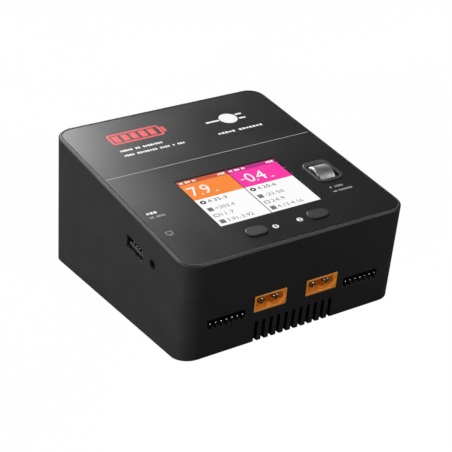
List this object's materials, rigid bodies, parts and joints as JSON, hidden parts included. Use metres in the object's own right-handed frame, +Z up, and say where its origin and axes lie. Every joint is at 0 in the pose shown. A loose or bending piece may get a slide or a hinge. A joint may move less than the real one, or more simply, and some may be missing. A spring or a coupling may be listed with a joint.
{
  "type": "balance battery charger",
  "caption": "Wedge-shaped mains-powered balance charger for hobby battery packs, with display, menu roller, push buttons, battery outlets, balance ports and rear fan.",
  "frame": {"origin": "bottom centre of the bounding box, level with the soles of the feet", "axes": "+Z up, +Y towards the back, +X to the right seen from the front; the sockets, buttons and roller lie square to a panel that leans back 9.6 degrees about X"},
  "size_m": [0.106, 0.126, 0.0657],
  "materials": {
    "case_plastic": "fine spark-eroded black",
    "base_plastic": "fine textured black",
    "panel_plastic": "smooth satin-gloss black",
    "window": "clear hard-coated",
    "bezel_plastic": "satin dark grey",
    "button_plastic": "satin dark grey",
    "roller_metal": "satin, dark anodised",
    "steel": "bright",
    "black_screw": "black oxide",
    "foot_rubber": "matt",
    "lcd_glass": "polished",
    "lcd_light": "white diffuser",
    "holder_plastic": "natural",
    "board": "solder mask",
    "switch_plastic": "matt",
    "plunger_plastic": "matt",
    "carrier_plastic": "acetal",
    "chip": "moulded epoxy",
    "can": "sleeved",
    "contact_gold": "gold flashed",
    "socket_steel": "nickel plated",
    "tongue_plastic": "matt",
    "outlet_plastic": "amber nylon",
    "header_plastic": "black nylon",
    "pin_metal": "tin plated",
    "ferrite": "dark ferrite",
    "winding": "enamelled copper",
    "coil_tape": "yellow tape",
    "cap_sleeve": "shrink sleeve",
    "fuse_glass": "glazed",
    "inlet_plastic": "black thermoplastic",
    "heat_sink": "extruded",
    "fan_plastic": "black",
    "wire": "insulated",
    "ribbon": "flat cable"
  },
  "bodies": {
    "case": {"upper_shell": "case_plastic", "base_plate": "base_plastic", "top_panel": "panel_plastic", "display_window": "window", "roller_bezel": "bezel_plastic", "case_screws": "black_screw", "board_screws": "steel", "lcd_panel": "lcd_glass", "lcd_backlight": "lcd_light", "display_holder": "holder_plastic", "control_board": "board", "button_switches": "switch_plastic", "roller_frame": "switch_plastic", "roller_switch": "switch_plastic", "encoder_board": "board", "buzzer": "chip", "processor": "chip", "usb_shell": "socket_steel", "usb_tongue": "tongue_plastic", "usb_contacts": "contact_gold", "link_jack": "header_plastic", "charge_board": "board", "power_outlet_left": "outlet_plastic", "power_outlet_right": "outlet_plastic", "outlet_pins_left": "contact_gold", "outlet_pins_right": "contact_gold", "balance_port_left": "header_plastic", "balance_port_right": "header_plastic", "balance_pins_left": "pin_metal", "balance_pins_right": "pin_metal", "inductor_cores": "ferrite", "inductor_coils": "winding", "charge_transistors": "chip", "output_capacitors": "can", "ribbon_cable": "ribbon", "mains_inlet": "inlet_plastic", "inlet_pins": "pin_metal", "mains_leads": "wire", "supply_leads": "wire", "fan_frame": "fan_plastic", "fan_screws": "black_screw", "rubber_feet": "foot_rubber", "supply_board": "board", "input_fuse": "fuse_glass", "line_choke": "winding", "bridge_rectifier": "chip", "bulk_capacitor": "cap_sleeve", "transformer_core": "ferrite", "transformer_coil": "coil_tape", "heat_sinks": "heat_sink"},
    "left_button": {"button_left": "button_plastic", "plunger_left": "plunger_plastic"},
    "right_button": {"button_right": "button_plastic", "plunger_right": "plunger_plastic"},
    "roller_carriage": {"roller_carrier": "carrier_plastic", "roller_plunger": "plunger_plastic"},
    "menu_roller": {"roller": "roller_metal", "roller_shaft": "steel", "encoder_disc": "ferrite"},
    "fan_rotor": {"fan_impeller": "fan_plastic"}
  },
  "joints": [
    {"name": "left_button_press", "type": "slide", "parent": "case", "child": "left_button", "axis": [0, 0.1668, -0.986], "range_m": [0, 0.00035], "stiffness_N_per_m": 40, "springref_m": -0.001},
    {"name": "right_button_press", "type": "slide", "parent": "case", "child": "right_button", "axis": [0, 0.1668, -0.986], "range_m": [0, 0.00035], "stiffness_N_per_m": 40, "springref_m": -0.001},
    {"name": "roller_press", "type": "slide", "parent": "case", "child": "roller_carriage", "axis": [0, 0.1668, -0.986], "range_m": [0, 0.00035], "stiffness_N_per_m": 120, "springref_m": -0.001},
    {"name": "roller_spin", "type": "hinge", "parent": "roller_carriage", "child": "menu_roller", "pos_m": [0.0363, -0.02366, 0.04787], "axis": [1, 0, 0], "continuous": true},
    {"name": "fan_spin", "type": "hinge", "parent": "case", "child": "fan_rotor", "pos_m": [0.0225, 0.04933, 0.03187], "axis": [0, 0.986, 0.1668], "continuous": true}
  ]
}
